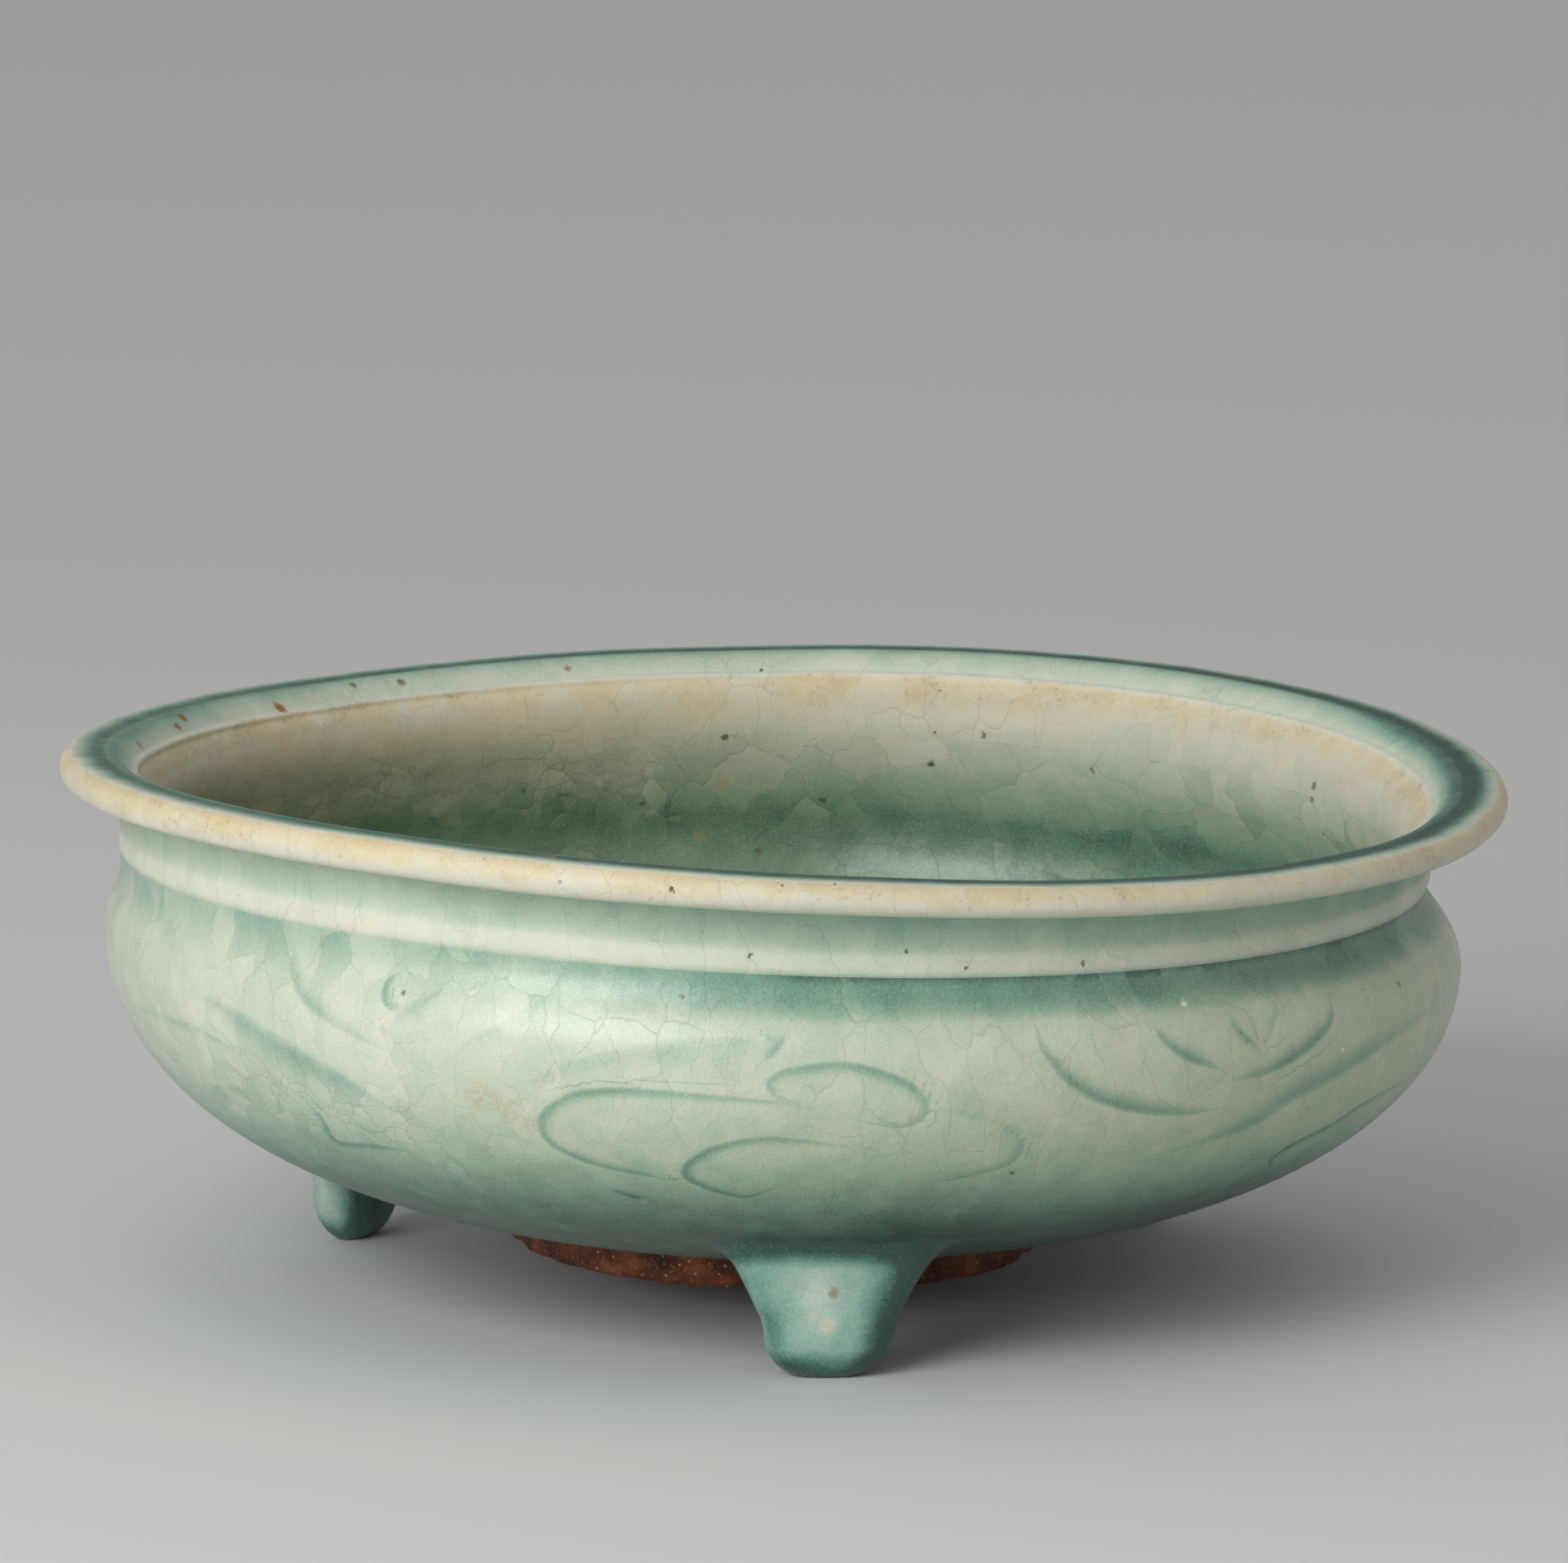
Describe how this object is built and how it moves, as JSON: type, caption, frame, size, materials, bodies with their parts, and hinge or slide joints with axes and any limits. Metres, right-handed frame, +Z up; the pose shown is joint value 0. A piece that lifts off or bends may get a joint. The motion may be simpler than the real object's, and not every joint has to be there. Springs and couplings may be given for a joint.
{
  "type": "tripod incense burner",
  "caption": "Wide shallow celadon incense burner with a flat everted rim, a carved belly, an unglazed foot ring and short rounded tripod legs.",
  "frame": {"origin": "on the ground under the bowl's axis, level with the soles of the three feet", "axes": "+Z up along the bowl's axis; -Y towards the viewer of the picture, with the front leg turned 5.5 degrees from -Y towards +X; +X to that viewer's right. The bowl itself leans 1.1 degrees towards +X on its legs, about the middle of its rim, and its neck sits 1.3 mm off its axis towards -X"},
  "size_m": [0.24, 0.24, 0.0912],
  "materials": {
    "celadon_belly": "satin",
    "celadon_rim": "satin",
    "celadon_floor": "satin",
    "celadon_leg": "satin",
    "bare_clay": "matte"
  },
  "bodies": {
    "root": {"belly": "celadon_belly", "rim_collar": "celadon_rim", "floor_disc": "celadon_floor", "foot_ring": "bare_clay", "leg_front": "celadon_leg", "leg_rear_left": "celadon_leg", "leg_rear_right": "celadon_leg", "luting_coil_front": "celadon_leg", "luting_coil_rear_left": "celadon_leg", "luting_coil_rear_right": "celadon_leg"}
  },
  "joints": []
}
